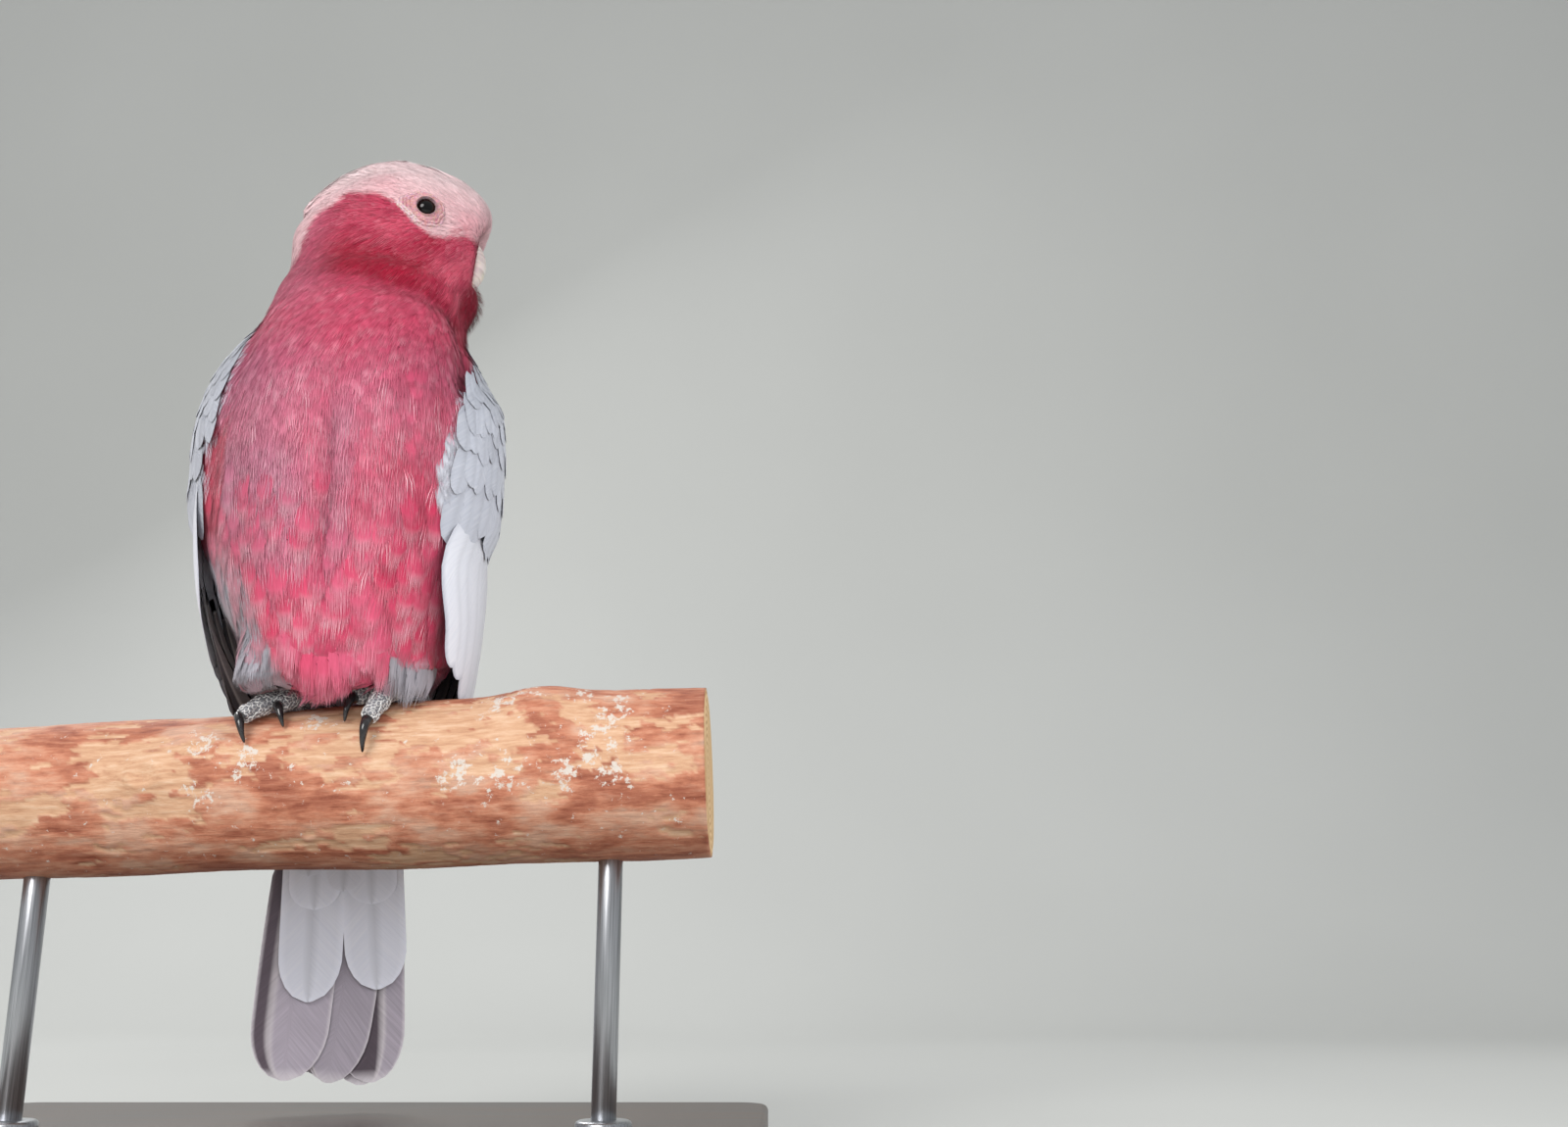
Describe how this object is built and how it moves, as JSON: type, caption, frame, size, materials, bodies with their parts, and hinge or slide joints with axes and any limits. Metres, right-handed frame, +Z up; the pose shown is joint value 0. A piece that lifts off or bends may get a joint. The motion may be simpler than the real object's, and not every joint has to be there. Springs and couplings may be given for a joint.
{
  "type": "life-size galah on a perch",
  "caption": "Life-size still model of a rose-and-grey cockatoo with its head turned aside, gripping a cut length of branch on a plain stand.",
  "frame": {"origin": "centre of the display base's underside", "axes": "+Z up; +X along the perch towards the side the bird's head is turned to; -Y the way the breast faces, so the bird is seen from the front along +Y"},
  "size_m": [0.29, 0.196, 0.3493],
  "materials": {
    "rose_plumage": "soft feathers, rose pink",
    "pale_crown_plumage": "soft feathers, pale pinkish white",
    "grey_plumage": "smooth feathers, pale blue grey",
    "dark_flight_feathers": "smooth feathers, dark grey",
    "bill_horn": "satin horn, bone white",
    "eye": "wet gloss, brown black",
    "eye_skin": "bare wrinkled skin, greyish pink",
    "foot_skin": "scaly skin, grey with pale edges",
    "claw": "satin horn, near black",
    "branch": "smooth red-brown bark with cream patches worn bare",
    "base_wood": "satin dark stain",
    "rod_steel": "brushed"
  },
  "bodies": {
    "root": {"belly": "rose_plumage", "bill_lower": "bill_horn", "bill_upper": "bill_horn", "breast": "rose_plumage", "cheeks": "rose_plumage", "claw_left_inner_back": "claw", "claw_left_inner_front": "claw", "claw_left_outer_back": "claw", "claw_left_outer_front": "claw", "claw_right_inner_back": "claw", "claw_right_inner_front": "claw", "claw_right_outer_back": "claw", "claw_right_outer_front": "claw", "crest": "pale_crown_plumage", "crown": "pale_crown_plumage", "eye_left": "eye", "eye_right": "eye", "eye_ring_left": "eye_skin", "eye_ring_right": "eye_skin", "foot_left": "foot_skin", "foot_right": "foot_skin", "neck": "rose_plumage", "perch": "branch", "rump": "grey_plumage", "stand_base": "base_wood", "stand_collar_left": "rod_steel", "stand_collar_right": "rod_steel", "stand_rod_left": "rod_steel", "stand_rod_right": "rod_steel", "tail": "dark_flight_feathers", "tail_undercoverts": "grey_plumage", "tail_uppercoverts": "grey_plumage", "thigh_left": "grey_plumage", "thigh_right": "grey_plumage", "toe_left_inner_back": "foot_skin", "toe_left_inner_front": "foot_skin", "toe_left_outer_back": "foot_skin", "toe_left_outer_front": "foot_skin", "toe_right_inner_back": "foot_skin", "toe_right_inner_front": "foot_skin", "toe_right_outer_back": "foot_skin", "toe_right_outer_front": "foot_skin", "wing_left_coverts": "grey_plumage", "wing_left_primaries": "dark_flight_feathers", "wing_left_secondaries": "grey_plumage", "wing_right_coverts": "grey_plumage", "wing_right_primaries": "dark_flight_feathers", "wing_right_secondaries": "grey_plumage"}
  },
  "joints": []
}
